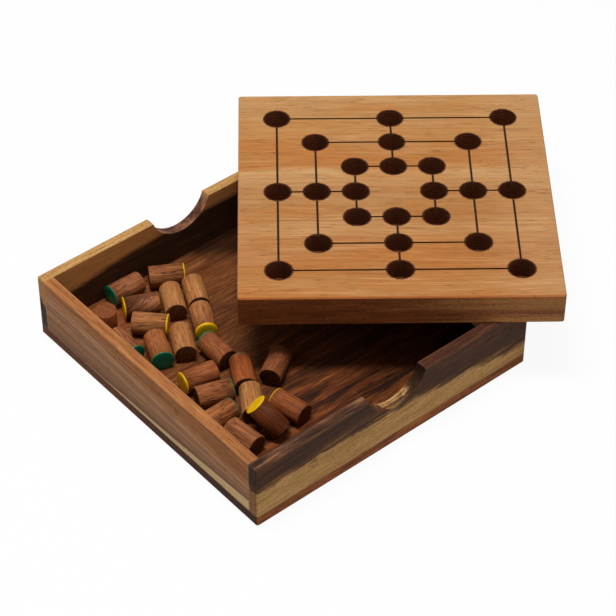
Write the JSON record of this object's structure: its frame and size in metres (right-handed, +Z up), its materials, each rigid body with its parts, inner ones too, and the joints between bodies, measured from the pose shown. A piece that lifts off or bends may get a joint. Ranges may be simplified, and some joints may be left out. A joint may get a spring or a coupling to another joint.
{
  "type": "nine mens morris box",
  "caption": "Square wooden morris game box: a walled tray with thumb notches holds loose painted pegs, and the drilled playing board drops in as its lid.",
  "frame": {"origin": "centre of the tray's underside", "axes": "+Z up; -Y towards the front wall with its thumb notch, +X to the right, where the board lies across the rims"},
  "size_m": [0.2328, 0.1866, 0.0464],
  "materials": {
    "base_wood": "oiled dark brown hardwood with reddish streaks",
    "notched_wall_wood": "oiled dark brown heartwood with pale sapwood",
    "plain_wall_wood": "oiled mid brown hardwood",
    "board_wood": "oiled honey brown hardwood",
    "green_peg_wood": "bare hardwood dowel with one end painted green",
    "yellow_peg_wood": "bare hardwood dowel with one end painted yellow"
  },
  "bodies": {
    "tray": {"base_panel": "base_wood", "front_wall": "notched_wall_wood", "back_wall": "notched_wall_wood", "left_wall": "plain_wall_wood", "right_wall": "plain_wall_wood"},
    "game_board": {"game_board": "board_wood"},
    "green_peg_01": {"green_peg_01": "green_peg_wood"},
    "green_peg_02": {"green_peg_02": "green_peg_wood"},
    "green_peg_03": {"green_peg_03": "green_peg_wood"},
    "green_peg_04": {"green_peg_04": "green_peg_wood"},
    "green_peg_05": {"green_peg_05": "green_peg_wood"},
    "green_peg_06": {"green_peg_06": "green_peg_wood"},
    "green_peg_07": {"green_peg_07": "green_peg_wood"},
    "green_peg_08": {"green_peg_08": "green_peg_wood"},
    "green_peg_09": {"green_peg_09": "green_peg_wood"},
    "green_peg_10": {"green_peg_10": "green_peg_wood"},
    "green_peg_11": {"green_peg_11": "green_peg_wood"},
    "green_peg_12": {"green_peg_12": "green_peg_wood"},
    "yellow_peg_01": {"yellow_peg_01": "yellow_peg_wood"},
    "yellow_peg_02": {"yellow_peg_02": "yellow_peg_wood"},
    "yellow_peg_03": {"yellow_peg_03": "yellow_peg_wood"},
    "yellow_peg_04": {"yellow_peg_04": "yellow_peg_wood"},
    "yellow_peg_05": {"yellow_peg_05": "yellow_peg_wood"},
    "yellow_peg_06": {"yellow_peg_06": "yellow_peg_wood"},
    "yellow_peg_07": {"yellow_peg_07": "yellow_peg_wood"},
    "yellow_peg_08": {"yellow_peg_08": "yellow_peg_wood"},
    "yellow_peg_09": {"yellow_peg_09": "yellow_peg_wood"},
    "yellow_peg_10": {"yellow_peg_10": "yellow_peg_wood"},
    "yellow_peg_11": {"yellow_peg_11": "yellow_peg_wood"},
    "yellow_peg_12": {"yellow_peg_12": "yellow_peg_wood"}
  },
  "joints": [
    {"name": "board_lift", "type": "slide", "parent": "tray", "child": "game_board", "axis": [0, 0, 1], "range_m": [0, 0.1]},
    {"name": "green_peg_01_lift", "type": "slide", "parent": "tray", "child": "green_peg_01", "axis": [0, 0, 1], "range_m": [0, 0.045]},
    {"name": "green_peg_02_lift", "type": "slide", "parent": "tray", "child": "green_peg_02", "axis": [0, 0, 1], "range_m": [0, 0.045]},
    {"name": "green_peg_03_lift", "type": "slide", "parent": "tray", "child": "green_peg_03", "axis": [0, 0, 1], "range_m": [0, 0.045]},
    {"name": "green_peg_04_lift", "type": "slide", "parent": "tray", "child": "green_peg_04", "axis": [0, 0, 1], "range_m": [0, 0.045]},
    {"name": "green_peg_05_lift", "type": "slide", "parent": "tray", "child": "green_peg_05", "axis": [0, 0, 1], "range_m": [0, 0.045]},
    {"name": "green_peg_06_lift", "type": "slide", "parent": "tray", "child": "green_peg_06", "axis": [-0.0758, -0.0919, 0.9929], "range_m": [0, 0.06]},
    {"name": "green_peg_07_lift", "type": "slide", "parent": "tray", "child": "green_peg_07", "axis": [0, 0, 1], "range_m": [0, 0.045]},
    {"name": "green_peg_08_lift", "type": "slide", "parent": "tray", "child": "green_peg_08", "axis": [0, 0, 1], "range_m": [0, 0.045]},
    {"name": "green_peg_09_lift", "type": "slide", "parent": "tray", "child": "green_peg_09", "axis": [0, 0, 1], "range_m": [0, 0.045]},
    {"name": "green_peg_10_lift", "type": "slide", "parent": "tray", "child": "green_peg_10", "axis": [0, 0, 1], "range_m": [0, 0.045]},
    {"name": "green_peg_11_lift", "type": "slide", "parent": "tray", "child": "green_peg_11", "axis": [0, 0, 1], "range_m": [0, 0.045]},
    {"name": "green_peg_12_lift", "type": "slide", "parent": "tray", "child": "green_peg_12", "axis": [0, 0, 1], "range_m": [0, 0.045]},
    {"name": "yellow_peg_01_lift", "type": "slide", "parent": "tray", "child": "yellow_peg_01", "axis": [0, 0, 1], "range_m": [0, 0.045]},
    {"name": "yellow_peg_02_lift", "type": "slide", "parent": "tray", "child": "yellow_peg_02", "axis": [0, 0, 1], "range_m": [0, 0.045]},
    {"name": "yellow_peg_03_lift", "type": "slide", "parent": "tray", "child": "yellow_peg_03", "axis": [0, 0, 1], "range_m": [0, 0.045]},
    {"name": "yellow_peg_04_lift", "type": "slide", "parent": "tray", "child": "yellow_peg_04", "axis": [0, 0, 1], "range_m": [0, 0.045]},
    {"name": "yellow_peg_05_lift", "type": "slide", "parent": "tray", "child": "yellow_peg_05", "axis": [0, 0, 1], "range_m": [0, 0.045]},
    {"name": "yellow_peg_06_lift", "type": "slide", "parent": "tray", "child": "yellow_peg_06", "axis": [0, 0, 1], "range_m": [0, 0.045]},
    {"name": "yellow_peg_07_lift", "type": "slide", "parent": "tray", "child": "yellow_peg_07", "axis": [0, 0, 1], "range_m": [0, 0.045]},
    {"name": "yellow_peg_08_lift", "type": "slide", "parent": "tray", "child": "yellow_peg_08", "axis": [-0.3065, -0.3718, 0.8762], "range_m": [0, 0.072]},
    {"name": "yellow_peg_09_lift", "type": "slide", "parent": "tray", "child": "yellow_peg_09", "axis": [0, 0, 1], "range_m": [0, 0.045]},
    {"name": "yellow_peg_10_lift", "type": "slide", "parent": "tray", "child": "yellow_peg_10", "axis": [0, 0, 1], "range_m": [0, 0.045]},
    {"name": "yellow_peg_11_lift", "type": "slide", "parent": "tray", "child": "yellow_peg_11", "axis": [0, 0, 1], "range_m": [0, 0.045]},
    {"name": "yellow_peg_12_lift", "type": "slide", "parent": "green_peg_09", "child": "yellow_peg_12", "axis": [0, 0, 1], "range_m": [0, 0.045]}
  ]
}
